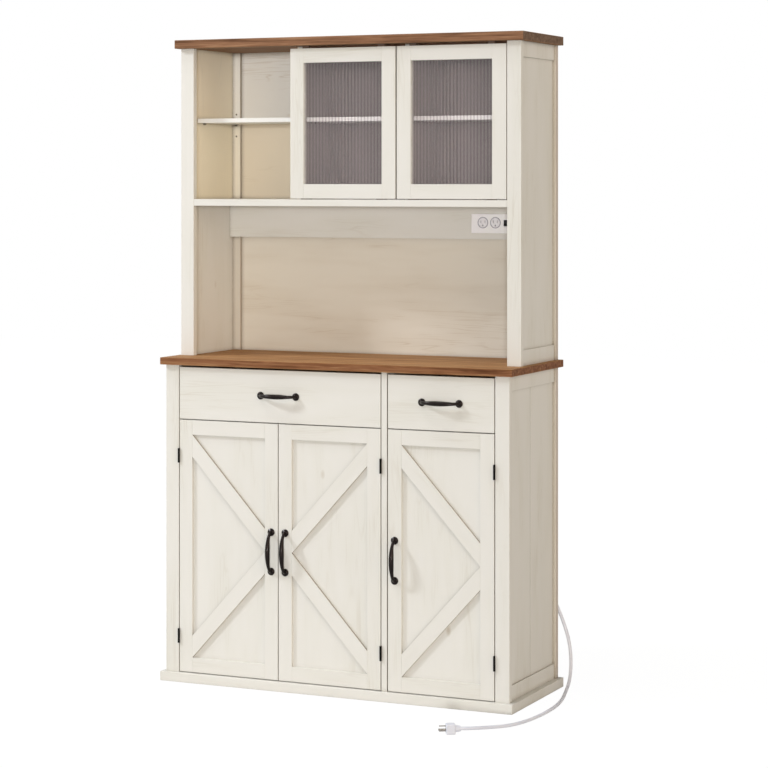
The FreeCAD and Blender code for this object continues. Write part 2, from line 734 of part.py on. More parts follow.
def glazed_door(name, x0):
    """One sliding door with its glass and its glides."""
    x1 = x0 + glazed_width
    back = hutch_front + face_thickness
    inner_x0, inner_x1 = x0 + glazed_stile, x1 - glazed_stile
    inner_z0, inner_z1 = glazed_bottom + glazed_rail, glazed_top - glazed_rail
    groove_front = hutch_front + glass_setback - fit_gap
    groove = box(inner_x0 - glass_groove_depth, inner_x1 + glass_groove_depth,
                 groove_front, groove_front + glass_thickness + 2 * fit_gap,
                 inner_z0 - glass_groove_depth, inner_z1 + glass_groove_depth)
    members = [box(x0, inner_x0, hutch_front, back, glazed_bottom, glazed_top),
               box(inner_x1, x1, hutch_front, back, glazed_bottom, glazed_top),
               box(inner_x0, inner_x1, hutch_front, back, glazed_bottom, inner_z0),
               box(inner_x0, inner_x1, hutch_front, back, inner_z1, glazed_top)]
    save(name + "_frame", [ease_front(member, hutch_front, thin_edge).cut(groove) for member in members])
    save(name + "_glass", [reeded_pane(inner_x0 - glass_engagement, inner_x1 + glass_engagement,
                                       inner_z0 - glass_engagement, inner_z1 + glass_engagement)])
    y0, y1 = track_y - glide_thickness / 2, track_y + glide_thickness / 2
    slot_floor = middle_shelf_top - bottom_slot_depth
    glides = []
    for middle in (x0 + glide_from_end, x1 - glide_from_end):
        glides.append(box(middle - glide_length / 2, middle + glide_length / 2, y0, y1,
                          slot_floor + seat_gap, glazed_bottom))
        glides.append(box(middle - guide_pin_length / 2, middle + guide_pin_length / 2, y0, y1,
                          glazed_top, glazed_top + guide_pin_rise))
    save(name + "_glides", glides)


glazed_door("glazed_door_right", right_glazed_x)
glazed_door("glazed_door_middle", middle_glazed_x)


# Mains cord: it leaves the outlet box downwards and lies on the floor beside the cabinet.
# Its points were chosen on a cabinet of the drawn width, depth and drop, and follow its sizes.
cord_diameter = 9.0
arc_share = 0.45
cord_drawn_width = 1060.0
cord_drawn_depth = 390.0
cord_drawn_drop = 1215.0
relief_from_box = 110.0
relief_before_back = 8.0
relief_length = 47.0
relief_top_radius = 8.0
relief_end_radius = 5.6
relief_groove_width = 2.0
relief_grooves = 3
relief_x = outlet_box_x + relief_from_box
relief_y = outlet_box_back - relief_before_back
relief_end = outlet_box_z - relief_length
cord_hanging = [(392, 197, 1215), (392, 197, 1135), (396, 204, 1024), (401, 209, 904), (408, 211, 784),
                (417, 210, 664), (430, 209, 549), (447, 208, 439), (470, 206, 334),
                (496, 205, 244), (525, 203, 184), (547, 197, 126), (557, 184, 70), (563, 154, 25)]
cord_on_floor = [(569, 104, 4.6), (590, 26, 4.6), (605, -58, 4.6), (608, -142, 4.6),
                 (603, -226, 4.6), (588, -300, 4.6), (567, -346, 5.6), (541, -392, 9.5),
                 (517, -429, 13), (489, -445, 13)]


def cord_wire(points):
    """Straight runs joined by arcs that are as large as the two runs beside them allow."""
    edges = []
    radii = []
    start = points[0]
    for before, corner, after in zip(points, points[1:], points[2:]):
        into, out = corner - before, after - corner
        turn = into.getAngle(out)
        reach = arc_share * min(into.Length, out.Length)
        into.normalize()
        out.normalize()
        inward = out - into
        inward.normalize()
        radius = reach / math.tan(turn / 2)
        bulge = radius / math.cos(turn / 2) - radius
        arc = Part.Arc(corner - into * reach, corner + inward * bulge, corner + out * reach)
        edges.append(Part.makeLine(start, corner - into * reach))
        edges.append(arc.toShape())
        start = corner + out * reach
        radii.append(radius)
    edges.append(Part.makeLine(start, points[-1]))
    return Part.Wire(edges), radii


cord_shift = Vector((overall_width - cord_drawn_width) / 2, (overall_depth - cord_drawn_depth) / 2, 0)
cord_stretch = relief_end / cord_drawn_drop
route_points = [Vector(x, y, z * cord_stretch) + cord_shift for x, y, z in cord_hanging]
route_points += [Vector(x, y, z) + cord_shift for x, y, z in cord_on_floor]
route, bend_radii = cord_wire(route_points)
ring = Part.Wire(Part.makeCircle(cord_diameter / 2, route_points[0], route_points[1] - route_points[0]))
cord = route.makePipeShell([ring], True)
section = math.pi * (cord_diameter / 2) ** 2
print("cord radii", [round(radius) for radius in bend_radii])
print("cord length", round(route.Length), "volume share", round(cord.Volume / (section * route.Length), 4))
save("power_cord", [cord])

relief_top = Vector(relief_x, relief_y, outlet_box_z)
relief = Part.makeCone(relief_top_radius, relief_end_radius, relief_length, relief_top, Vector(0, 0, -1))
for n in range(1, relief_grooves + 1):
    groove_top = Vector(relief_x, relief_y, outlet_box_z - n * relief_length / (relief_grooves + 1))
    ends = (groove_top, groove_top - Vector(0, 0, relief_groove_width))
    relief = relief.cut(rod(relief_top_radius, *ends).cut(rod(relief_end_radius - board_edge, *ends)))
save("strain_relief", [relief])


# Plug: it lies on its side, so that its two flat blades are one above the other
plug_length = 38.0
plug_height = 26.0
plug_width = 27.0
plug_neck_length = 14.0
plug_neck_radius = 7.0
plug_edge = 3.5
blade_length = 17.0
blade_width = 6.3
blade_thickness = 1.5
blade_root = 4.0
blade_offset = 4.5
earth_pin_radius = 2.4
earth_pin_length = 20.0
earth_pin_offset = 7.4

plug_back = route_points[-1]
plug_heading = plug_back - route_points[-2]
plug_turn = math.degrees(math.atan2(plug_heading.y, plug_heading.x))


def plug_box(x0, x1, y, width, z, height):
    """A block of the plug, along +X from its back, centred on the given Y and Z."""
    return box(plug_back.x + x0, plug_back.x + x1, plug_back.y + y - width / 2, plug_back.y + y + width / 2,
               plug_back.z + z - height / 2, plug_back.z + z + height / 2)


plug_shell = plug_box(plug_neck_length, plug_length, 0, plug_width, 0, plug_height)
plug_shell = plug_shell.makeFillet(plug_edge, plug_shell.Edges)
plug_neck = Part.makeCone(plug_neck_radius, plug_height / 2 - plug_edge, plug_neck_length + plug_edge,
                          plug_back, Vector(1, 0, 0))
blades = [plug_box(plug_length - blade_root, plug_length + blade_length, -blade_offset, blade_width,
                   way * blade_spacing / 2, blade_thickness) for way in (-1, 1)]
earth_start = plug_back + Vector(plug_length - blade_root, earth_pin_offset, 0)
earth_end = plug_back + Vector(plug_length + earth_pin_length, earth_pin_offset, 0)
blades.append(rod(earth_pin_radius, earth_start, earth_end))
plug_body = plug_shell.fuse(plug_neck).cut(Part.makeCompound(blades))
for piece in [plug_body] + blades:
    piece.rotate(plug_back, Vector(0, 0, 1), plug_turn)
save("plug_blades", blades)
save("plug_body", [plug_body])
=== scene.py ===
# %% [markdown]
# # A painted kitchen sideboard with a brown worktop
# A tall kitchen sideboard: a base with drawers and braced doors, a brown wooden worktop, and a hutch with
# an open bay, a niche, two reeded glass doors and a power outlet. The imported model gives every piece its
# place and its motion, so this lesson mostly gives the pieces their finish. All lengths are in metres.

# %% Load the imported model
import math

import bpy
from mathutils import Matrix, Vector


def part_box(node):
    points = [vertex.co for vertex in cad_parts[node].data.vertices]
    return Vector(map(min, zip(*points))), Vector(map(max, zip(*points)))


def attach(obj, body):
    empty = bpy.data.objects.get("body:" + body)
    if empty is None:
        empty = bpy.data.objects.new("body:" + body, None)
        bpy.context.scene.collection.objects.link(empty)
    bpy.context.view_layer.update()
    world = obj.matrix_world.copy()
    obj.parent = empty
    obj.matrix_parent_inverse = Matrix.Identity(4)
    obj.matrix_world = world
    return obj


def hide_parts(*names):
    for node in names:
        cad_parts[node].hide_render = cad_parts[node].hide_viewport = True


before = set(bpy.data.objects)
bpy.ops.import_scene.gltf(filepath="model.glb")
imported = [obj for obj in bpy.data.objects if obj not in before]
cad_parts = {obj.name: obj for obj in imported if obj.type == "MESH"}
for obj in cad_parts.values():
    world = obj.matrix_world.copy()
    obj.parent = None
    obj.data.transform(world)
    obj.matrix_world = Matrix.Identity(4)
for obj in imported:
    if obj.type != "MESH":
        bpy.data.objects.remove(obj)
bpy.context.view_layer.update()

# %% [markdown]
# ## The camera
# The photograph is a long-lens view, taken level from the right of the sideboard. Its two vanishing points
# give the focal length, the heading and the place of the camera. The sideboard stands below the lens, so
# the picture is shifted down as a view camera does it, which keeps every upright of the furniture upright
# in the picture.

# %% Place the camera
PICTURE_SIDE = 768
FOCAL_PIXELS = 2396.35
HORIZON_ROW = 181.448
SENSOR_WIDTH = 36.0
CAMERA_PLACE = (2.8338, -6.0513, 1.3995)
LEVEL_TILT = 90.0
CAMERA_HEADING = 24.53
FAR_END = 100.0

camera_data = bpy.data.cameras.new("view_camera")
camera_data.sensor_width = SENSOR_WIDTH
camera_data.lens = FOCAL_PIXELS / PICTURE_SIDE * SENSOR_WIDTH
camera_data.shift_y = (HORIZON_ROW - PICTURE_SIDE / 2) / PICTURE_SIDE
camera_data.clip_end = FAR_END
camera = bpy.data.objects.new("view_camera", camera_data)
camera.location = CAMERA_PLACE
camera.rotation_euler = (math.radians(LEVEL_TILT), 0.0, math.radians(CAMERA_HEADING))
bpy.context.scene.collection.objects.link(camera)
bpy.context.scene.camera = camera
print("lens:", round(camera_data.lens, 2), "mm, shift:", round(camera_data.shift_y, 4))

# %% [markdown]
# ## Colour
# A colour is written the way a paint chart gives it, as an sRGB hex value, and one function turns it into
# the linear numbers that light is added up in.

# %% Colour from a hex value
def linear(hex_colour):
    """The linear colour of an sRGB hex value such as #e7e1d8."""
    parts = [int(hex_colour[i:i + 2], 16) / 255.0 for i in (1, 3, 5)]
    curve = [p / 12.92 if p <= 0.04045 else ((p + 0.055) / 1.055) ** 2.4 for p in parts]
    return (*curve, 1.0)


print("half grey is", [round(c, 3) for c in linear("#808080")])

# %% [markdown]
# ## Nodes and finishes
# One function adds any shader node with its settings and links, so each material below reads as a list of
# what feeds what. Another gives a finish to whole pieces of the model, by their material slots.

# %% Helpers for nodes and finishes
def add(tree, kind, feeds=None, stops=(), **settings):
    """A new node: settings are its own choices, feeds its inputs, stops the colours of a ramp."""
    node = tree.nodes.new(kind)
    for name, value in settings.items():
        setattr(node, name, value)
    for socket, value in (feeds or {}).items():
        if isinstance(value, bpy.types.NodeSocket):
            tree.links.new(value, node.inputs[socket])
        else:
            node.inputs[socket].default_value = value
    for number, (place, colour) in enumerate(stops):
        if number > 1:
            node.color_ramp.elements.new(place)
        node.color_ramp.elements[number].position = place
        node.color_ramp.elements[number].color = linear(colour)
    return node


def new_material(name):
    """An empty material: gives the material and its tree."""
    material = bpy.data.materials.new(name)
    material.use_nodes = True
    material.node_tree.nodes.clear()
    return material, material.node_tree


def paint(nodes, material):
    """Give whole model pieces one finish, by their material slots."""
    for name in nodes:
        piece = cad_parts[name]
        if not piece.material_slots:
            piece.data.materials.append(material)
        for slot in piece.material_slots:
            slot.material = material


print("pieces that can be given a finish:", len(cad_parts))

# %% [markdown]
# ## The mains cord
# A round PVC cord with a soft, matt sheath. It leaves the strain relief behind the hutch, hangs down
# behind the back panels, slides off to the right and lies on the floor in one long easy bend, to its plug.
# A NURBS curve is the honest tool: its control points pull the line like fingers and it never kinks. The
# points are the same route as the solid model has. The degree is set after the points are in, otherwise it
# stays at straight runs. The thickness is each point's own radius with a bevel of 1, so that the curve's
# bounding box is true as well.

# %% Lay the cord
CORD_DIAMETER = 0.009
CORD_ROUTE = [
    (0.392, 0.197, 1.215), (0.392, 0.197, 1.135), (0.396, 0.204, 1.024), (0.401, 0.209, 0.904),
    (0.408, 0.211, 0.784), (0.417, 0.210, 0.664), (0.430, 0.209, 0.549), (0.447, 0.208, 0.439),
    (0.470, 0.206, 0.334), (0.496, 0.205, 0.244), (0.525, 0.203, 0.184), (0.547, 0.197, 0.126),
    (0.557, 0.184, 0.070), (0.563, 0.154, 0.025), (0.569, 0.104, 0.0046), (0.590, 0.026, 0.0046),
    (0.605, -0.058, 0.0046), (0.608, -0.142, 0.0046), (0.603, -0.226, 0.0046), (0.588, -0.300, 0.0046),
    (0.567, -0.346, 0.0056), (0.541, -0.392, 0.0095), (0.517, -0.429, 0.013), (0.489, -0.445, 0.013),
]
ROUND_STEPS = 6
RUN_STEPS = 16
EASY_BEND_ORDER = 3


def lay_cord(name, route, diameter):
    """A round cord whose control points are the route."""
    curve = bpy.data.curves.new(name, "CURVE")
    curve.dimensions = "3D"
    curve.bevel_depth = 1.0
    curve.bevel_resolution = ROUND_STEPS
    curve.resolution_u = RUN_STEPS
    curve.use_fill_caps = True
    spline = curve.splines.new("NURBS")
    spline.points.add(len(route) - 1)
    for point, place in zip(spline.points, route):
        point.co = (*place, 1.0)
        point.radius = diameter / 2
    spline.order_u = EASY_BEND_ORDER
    spline.use_endpoint_u = True
    piece = bpy.data.objects.new(name, curve)
    bpy.context.scene.collection.objects.link(piece)
    return piece


cord = lay_cord("mains_cord", CORD_ROUTE, CORD_DIAMETER)
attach(cord, "cabinet")
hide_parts("power_cord")
print("cord points:", len(CORD_ROUTE))

# %% [markdown]
# ## The grain of a board
# Most of the sideboard is sawn pine. A board is easiest to draw in its own directions: along, across and
# into the board, so that every pattern can be drawn out along the grain. Object coordinates are turned
# until X runs along the board, and noise is then stretched to a length for the run and a length for the
# width. Where noise becomes two tones, the dark one ends and the light one starts at the same two values
# on most pieces.

# %% Directions of a board
GRAIN_ROUGHNESS = 0.6
DARK_END = 0.35
LIGHT_START = 0.65


def board_space(tree, axis):
    """Object coordinates turned so that X runs along the board."""
    place = add(tree, "ShaderNodeTexCoord").outputs["Object"]
    parts = add(tree, "ShaderNodeSeparateXYZ", {0: place})
    order = {"x": "XZY", "y": "YZX", "z": "ZXY"}[axis]
    turned = add(tree, "ShaderNodeCombineXYZ", dict(enumerate(parts.outputs[name] for name in order)))
    return turned.outputs[0]


def level_board(tree):
    """The directions of a level board."""
    return board_space(tree, "x")


def upright_board(tree):
    """The directions of an upright board."""
    return board_space(tree, "z")


def drawn_out(tree, vector, run, width, detail, distortion=0.0):
    """Noise whose cells are run long and width wide."""
    scaled = add(tree, "ShaderNodeMapping", {"Vector": vector, "Scale": (1 / run, 1 / width, 1 / width)})
    noise = add(tree, "ShaderNodeTexNoise", {"Vector": scaled.outputs[0], "Scale": 1.0, "Detail": detail,
                                             "Roughness": GRAIN_ROUGHNESS, "Distortion": distortion})
    return noise.outputs["Fac"]


print("board directions ready")

# %% [markdown]
# ## Framed boards
# A door's applied frame has boards that run three ways: stiles upright, rails level and braces aslant. The
# shader tells them apart by where a point lies in the door, and turns the board directions to suit. That
# keeps the grain right on each board without cutting the mesh up.

# %% Directions in a framed door
def beyond(tree, value, middle, reach):
    """1 where a coordinate is further than reach from the middle."""
    offset = add(tree, "ShaderNodeMath", {0: value, 1: middle}, operation="SUBTRACT")
    size = add(tree, "ShaderNodeMath", {0: offset.outputs[0]}, operation="ABSOLUTE")
    return add(tree, "ShaderNodeMath", {0: size.outputs[0], 1: reach}, operation="GREATER_THAN").outputs[0]


def framed_space(tree, middle, reach, slope):
    """Board directions of a door: beyond reach in X lie stiles, beyond it in Z rails, inside braces."""
    place = add(tree, "ShaderNodeTexCoord").outputs["Object"]
    parts = add(tree, "ShaderNodeSeparateXYZ", {0: place})
    above = add(tree, "ShaderNodeMath", {0: parts.outputs["Z"], 1: middle[1]}, operation="GREATER_THAN")
    tilt = add(tree, "ShaderNodeMapRange", {"Value": above.outputs[0], "To Min": -slope, "To Max": slope})
    aslant = add(tree, "ShaderNodeVectorRotate", {"Vector": place, "Angle": tilt.outputs[0]},
                 rotation_type="Y_AXIS")
    inner = add(tree, "ShaderNodeMix", {0: beyond(tree, parts.outputs["Z"], middle[1], reach[1]),
                                        4: aslant.outputs[0], 5: level_board(tree)}, data_type="VECTOR")
    whole = add(tree, "ShaderNodeMix", {0: beyond(tree, parts.outputs["X"], middle[0], reach[0]),
                                        4: inner.outputs[1], 5: upright_board(tree)}, data_type="VECTOR")
    return whole.outputs[1]


print("framed directions ready")

# %% [markdown]
# ## Growth lines, dashes and knots
# Thin off-white paint hides most of the grain. What still shows comes and goes along a board: long growth
# lines some 12 mm apart, short thin dashes, and a small grey-brown knot here and there. The growth lines
# are the contours of one slow noise, folded into a rising and falling wave, which gives the long flames of
# a sawn board. A cloudy mask lets the marks show only where the paint is thin.

# %% Draw the marks of pine
FIGURE_WIDTH = 0.050
FIGURE_RUN = 0.60
LINES_PER_FIGURE = 9.0
HALF_WAVE = 0.5
LINE_CORE = 0.02
LINE_EDGE = 0.16
LINE_STRENGTH = 0.8
DASH_WIDTH = 0.0035
DASH_RUN = 0.09
DASH_START = 0.60
DASH_FULL = 0.72
CLOUD_WIDTH = 0.07
CLOUD_RUN = 0.35
THIN_START = 0.50
THIN_FULL = 0.72
MARKS_AT_MOST = 0.55
KNOT_SPACING = 0.20
KNOT_CORE = 0.01
KNOT_EDGE = 0.045
KNOT_STRENGTH = 0.6


def pine_marks(tree, along):
    """Growth lines and dashes of a sawn board: gives how far they show, and the cloud that uncovers them."""
    figure = drawn_out(tree, along, FIGURE_RUN, FIGURE_WIDTH, detail=2.0, distortion=0.5)
    rings = add(tree, "ShaderNodeMath", {0: figure, 1: LINES_PER_FIGURE}, operation="MULTIPLY")
    wave = add(tree, "ShaderNodeMath", {0: rings.outputs[0], 1: HALF_WAVE}, operation="PINGPONG")
    line = add(tree, "ShaderNodeMapRange", {"Value": wave.outputs[0], "From Min": LINE_CORE,
                                            "From Max": LINE_EDGE, "To Min": LINE_STRENGTH, "To Max": 0.0})
    specks = drawn_out(tree, along, DASH_RUN, DASH_WIDTH, detail=1.0)
    dash = add(tree, "ShaderNodeMapRange", {"Value": specks, "From Min": DASH_START, "From Max": DASH_FULL})
    marks = add(tree, "ShaderNodeMath", {0: line.outputs[0], 1: dash.outputs[0]}, operation="MAXIMUM")
    cloud = drawn_out(tree, along, CLOUD_RUN, CLOUD_WIDTH, detail=2.0)
    shows = add(tree, "ShaderNodeMapRange", {"Value": cloud, "From Min": THIN_START, "From Max": THIN_FULL,
                                             "To Max": MARKS_AT_MOST})
    seen = add(tree, "ShaderNodeMath", {0: marks.outputs[0], 1: shows.outputs[0]}, operation="MULTIPLY")
    return seen.outputs[0], cloud


def knots(tree, along):
    """How far a point lies in a knot: one small knot to a cell, and the cells are twice as long as wide."""
    cell = (1 / (2 * KNOT_SPACING), 1 / KNOT_SPACING, 1 / KNOT_SPACING)
    cells = add(tree, "ShaderNodeMapping", {"Vector": along, "Scale": cell})
    nearest = add(tree, "ShaderNodeTexVoronoi", {"Vector": cells.outputs[0], "Scale": 1.0})
    spot = add(tree, "ShaderNodeMapRange", {"Value": nearest.outputs["Distance"], "From Min": KNOT_CORE,
                                            "From Max": KNOT_EDGE, "To Min": KNOT_STRENGTH, "To Max": 0.0})
    return spot.outputs[0]


print("figure:", 1000 * FIGURE_WIDTH, "mm wide, a knot to every", 1000 * KNOT_SPACING, "mm")

# %% [markdown]
# ## Painted light and shade in the bays
# Some boards carry painted light and shade over their paint. In the open niche, a warm painted shade lies
# below its shelf and a whiter painted light above it. Inside the glazed bays the boards are painted a smoky
# mauve grey as shade, so that the white shelf edges stand out behind the glass. The painted light and shade
# lie where a point of the board is in a box, and the boxes are worked out from the imported pieces. They end
# in the middle of the back panel, so its rear keeps its paint.

# %% Boxes of the open niche and the glazed bays
INTO_SIDE = 0.001
INTO_PARTITION = 0.004
PAST_SHELVES = 0.010
# Painted shade inside the glazed bays.
GLAZED_BAY_SHADE = "#988d8b"

shelves_low, shelves_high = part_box("hutch_shelves")
panel_low, panel_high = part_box("hutch_back_panel")
side_low, side_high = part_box("hutch_side_left")
panel_middle = (panel_low.y + panel_high.y) / 2
niche_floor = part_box("hutch_middle_shelf")[1].z
niche_start = side_high.x - INTO_SIDE
niche_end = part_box("hutch_partitions")[0].x + INTO_PARTITION
NICHE_FOOT = ((niche_start, side_low.y, niche_floor), (niche_end, panel_middle, shelves_high.z))
NICHE_HEAD = ((niche_start, side_low.y, shelves_high.z), (niche_end, panel_middle, panel_high.z))
GLAZED_BAYS = ((niche_end, shelves_low.y - PAST_SHELVES, niche_floor),
               (shelves_high.x + PAST_SHELVES, panel_middle, panel_high.z))


def within(tree, low, high):
    """1 where a point of the piece lies in the box from low to high."""
    place = add(tree, "ShaderNodeTexCoord").outputs["Object"]
    parts = add(tree, "ShaderNodeSeparateXYZ", {0: place})
    inside = 1.0
    for axis, start, end in zip("XYZ", low, high):
        middle, reach = (start + end) / 2, (end - start) / 2
        near = add(tree, "ShaderNodeMath", {0: parts.outputs[axis], 1: middle, 2: reach},
                   operation="COMPARE")
        inside = add(tree, "ShaderNodeMath", {0: near.outputs[0], 1: inside},
                     operation="MULTIPLY").outputs[0]
    return inside


def painted_light_and_shade(tree, colour, *coats):
    """The colour, covered by the tone of painted light and shade in each given box."""
    for bay, tone in coats:
        colour = add(tree, "ShaderNodeMix", {0: within(tree, *bay), 6: colour, 7: linear(tone)},
                     data_type="RGBA").outputs[2]
    return colour


print("niche from", round(niche_start, 3), "to", round(niche_end, 3))

# %% [markdown]
# ## Painted shade on sides and corners
# The sides of the rear posts and the slanting edges of the door braces get painted shade, darker than the
# faces. The shader finds them by where a face looks. A side looks along X, and a slanting edge looks partly
# along X and partly along Z. The product of these two parts is a half at most, so it is doubled. Corners,
# where other boards stand close, get a yellowish painted shade; an ambient occlusion node finds those.

# %% Paint shade on sides and corners
SLANT_GAIN = 2.0
CORNER_REACH = 0.012
CORNER_DEEP = 0.35
CORNER_OPEN = 0.90


def painted_side_shade(tree, colour, side_shade, slant_shade):
    """The colour, covered by painted shade on faces along X and on faces halfway from X to Z."""
    for tone, axis, gain in ((side_shade, "X", 1.0), (slant_shade, "Z", SLANT_GAIN)):
        if tone:
            normal = add(tree, "ShaderNodeNewGeometry").outputs["Normal"]
            facing = add(tree, "ShaderNodeSeparateXYZ", {0: normal})
            product = add(tree, "ShaderNodeMath", {0: facing.outputs["X"], 1: facing.outputs[axis]},
                          operation="MULTIPLY")
            size = add(tree, "ShaderNodeMath", {0: product.outputs[0]}, operation="ABSOLUTE")
            share = add(tree, "ShaderNodeMath", {0: size.outputs[0], 1: gain}, operation="MULTIPLY")
            colour = add(tree, "ShaderNodeMix", {0: share.outputs[0], 6: colour, 7: linear(tone)},
                         data_type="RGBA").outputs[2]
    return colour


def painted_corner_shade(tree, colour, corner, depth):
    """The colour, turned to the corner tone by up to depth as painted shade where other boards stand close.
    """
    openness = add(tree, "ShaderNodeAmbientOcclusion", {"Distance": CORNER_REACH}, samples=4)
    shaded = add(tree, "ShaderNodeMapRange", {"Value": openness.outputs["AO"], "From Min": CORNER_DEEP,
                                              "From Max": CORNER_OPEN, "To Min": depth, "To Max": 0.0})
    aged = add(tree, "ShaderNodeMix", {0: shaded.outputs[0], 6: colour, 7: linear(corner)},
               data_type="RGBA")
    return aged.outputs[2]


print("corners reach", 1000 * CORNER_REACH, "mm")

# %% [markdown]
# ## The paint itself
# Off-white satin paint on pine: a dielectric with an IOR of 1.5, brushed thin, so it stays a little rough.
# Four tones do it: paint, thin paint, grain and knot. The painted light and shade of the niche lie on the
# paint, under the grain that shows through, and the painted shade of the glazed bays covers all of it.

# %% Mix the painted pine
PAINT = ("#e5e3dd", "#e1dfd7", "#cfc9bd", "#b9ab96")
# Tone and depth of the painted shade in corners.
CORNER_SHADE = "#8a8378"
CORNER_SHADE_DEPTH = 0.2
PAINT_START = 0.40
PAINT_THIN = 0.70
PAINT_RELIEF = 0.0003


def painted_pine(name, space, tones=PAINT, side_shade=None, slant_shade=None, niche=None,
                 corner=CORNER_SHADE, depth=CORNER_SHADE_DEPTH):
    """Painted pine along the directions of space.

    tones are paint, thin paint, grain and knot; niche is painted shade at the niche foot and light at its
    head.
    """
    material, tree = new_material(name)
    along = space(tree)
    light, thin, grain, knot = tones
    seen, cloud = pine_marks(tree, along)
    coat = add(tree, "ShaderNodeValToRGB", {0: cloud},
               stops=[(PAINT_START, light), (PAINT_THIN, thin)]).outputs[0]
    # Painted shade at the niche foot and painted light at its head.
    if niche:
        coat = painted_light_and_shade(tree, coat, (NICHE_FOOT, niche[0]), (NICHE_HEAD, niche[1]))
    grained = add(tree, "ShaderNodeMix", {0: seen, 6: coat, 7: linear(grain)}, data_type="RGBA")
    knotted = add(tree, "ShaderNodeMix", {0: knots(tree, along), 6: grained.outputs[2], 7: linear(knot)},
                  data_type="RGBA")
    # Painted shade on the sides and the slanting edges.
    colour = painted_side_shade(tree, knotted.outputs[2], side_shade, slant_shade)
    # Painted shade over the glazed bays.
    if niche:
        colour = painted_light_and_shade(tree, colour, (GLAZED_BAYS, GLAZED_BAY_SHADE))
    # Painted shade in the corners.
    colour = painted_corner_shade(tree, colour, corner, depth)
    relief = add(tree, "ShaderNodeBump", {"Height": seen, "Strength": 0.2, "Distance": PAINT_RELIEF},
                 invert=True)
    shader = add(tree, "ShaderNodeBsdfPrincipled", {"Base Color": colour, "Roughness": 0.48, "IOR": 1.5,
                                                    "Specular IOR Level": 0.3,
                                                    "Normal": relief.outputs[0]})
    add(tree, "ShaderNodeOutputMaterial", {"Surface": shader.outputs[0]})
    return material


level_pine = painted_pine("painted_pine_level", level_board)
upright_pine = painted_pine("painted_pine_upright", upright_board)
paint(["plinth_board", "drawer_wide_front", "drawer_narrow_front", "base_shelves", "outlet_rail",
       "drawer_decks", "hutch_middle_shelf"], level_pine)
paint(["base_posts_front", "hutch_post_front_left", "hutch_post_front_right", "door_left_panel",
       "door_middle_panel", "door_right_panel"], upright_pine)
print("painted pine:", level_pine.name, upright_pine.name)

# %% [markdown]
# ## Shelves, posts, sides and the back of the hutch
# The loose shelves of the hutch are painted whiter, as painted light on their edges behind the glass. The
# rear posts are a darker, warmer tone. The back of the hutch is a thin board faced in pine, painted so that
# its grain still shows. Posts, sides and back carry the painted light and shade of the niche, and a deeper
# painted shade in their corners than the doors have.

# %% Paint the boards round the bays
# The whiter shelf paint stands as painted light on the shelf edges.
LIT_SHELF_PAINT = ("#f4f3ef", "#efede8", "#dfdad0", "#c8bba8")
# A darker, warmer tone all over the rear posts.
POST_PAINT = ("#dbd4c7", "#d6cec0", "#c6bcac", "#b09f88")
# Painted shade on the sides of the rear posts.
POST_SIDE_SHADE = "#cabeb1"
PANEL_PAINT = ("#e8e2d5", "#e0d8c9", "#b5a080", "#a48a64")
# Painted shade at the foot and painted light at the head of the open niche, for each kind of board.
NICHE_POST_SHADE_AND_LIGHT = ("#f6eede", "#fdfbf5")
NICHE_SIDES_SHADE_AND_LIGHT = ("#f6ecd6", "#faf0da")
NICHE_PANEL_SHADE_AND_LIGHT = ("#efe3cf", "#fdfbf5")
# Tone and depth of the deeper painted shade in corners round the bays, deeper still on the rear posts.
BAY_CORNER_SHADE = "#877b6b"
BAY_CORNER_SHADE_DEPTH = 0.6
POST_CORNER_SHADE_DEPTH = 0.9

lit_shelf_pine = painted_pine("painted_pine_lit_shelves", level_board, LIT_SHELF_PAINT)
rear_pine = painted_pine("darker_painted_pine_posts", upright_board, POST_PAINT, side_shade=POST_SIDE_SHADE,
                         niche=NICHE_POST_SHADE_AND_LIGHT, corner=BAY_CORNER_SHADE, depth=POST_CORNER_SHADE_DEPTH)
side_pine = painted_pine("painted_pine_sides", upright_board, niche=NICHE_SIDES_SHADE_AND_LIGHT, corner=BAY_CORNER_SHADE,
                         depth=BAY_CORNER_SHADE_DEPTH)
panel_pine = painted_pine("painted_pine_panel", level_board, PANEL_PAINT, niche=NICHE_PANEL_SHADE_AND_LIGHT,
                          corner=BAY_CORNER_SHADE, depth=BAY_CORNER_SHADE_DEPTH)
paint(["hutch_shelves"], lit_shelf_pine)
paint(["rear_posts"], rear_pine)
paint(["hutch_partitions", "hutch_side_left", "hutch_side_right", "base_side_left", "base_side_right",
       "base_divider"], side_pine)
paint(["hutch_back_panel"], panel_pine)
print("round the bays:", lit_shelf_pine.name, rear_pine.name, side_pine.name, panel_pine.name)

# %% [markdown]
# ## Doors
# Each base door is a panel with an applied frame: two stiles, two rails and two braces that meet at one
# stile. The braces climb 47.6 degrees. The glazed doors have the same stiles and rails round a pane.

# %% Paint the door frames
STILE = 0.040
RAIL = 0.041
BRACE = 47.6
# Painted shade on the slanting edges of the braces.
BRACE_EDGE_SHADE = "#b0a79b"


def door_frame_pine(node, stile, rail, slope):
    """Painted pine for one framed door, from the size of its own node."""
    low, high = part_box(node)
    middle = ((low.x + high.x) / 2, (low.z + high.z) / 2)
    reach = ((high.x - low.x) / 2 - stile, (high.z - low.z) / 2 - rail)
    return painted_pine("painted_pine_" + node, lambda tree: framed_space(tree, middle, reach, slope),
                        slant_shade=BRACE_EDGE_SHADE)


for node, slope in (("door_left_trim", -BRACE), ("door_middle_trim", BRACE), ("door_right_trim", -BRACE)):
    paint([node], door_frame_pine(node, STILE, RAIL, math.radians(slope)))
for node in ("glazed_door_middle_frame", "glazed_door_right_frame"):
    paint([node], door_frame_pine(node, STILE, STILE, 0.0))
print("door frames painted")

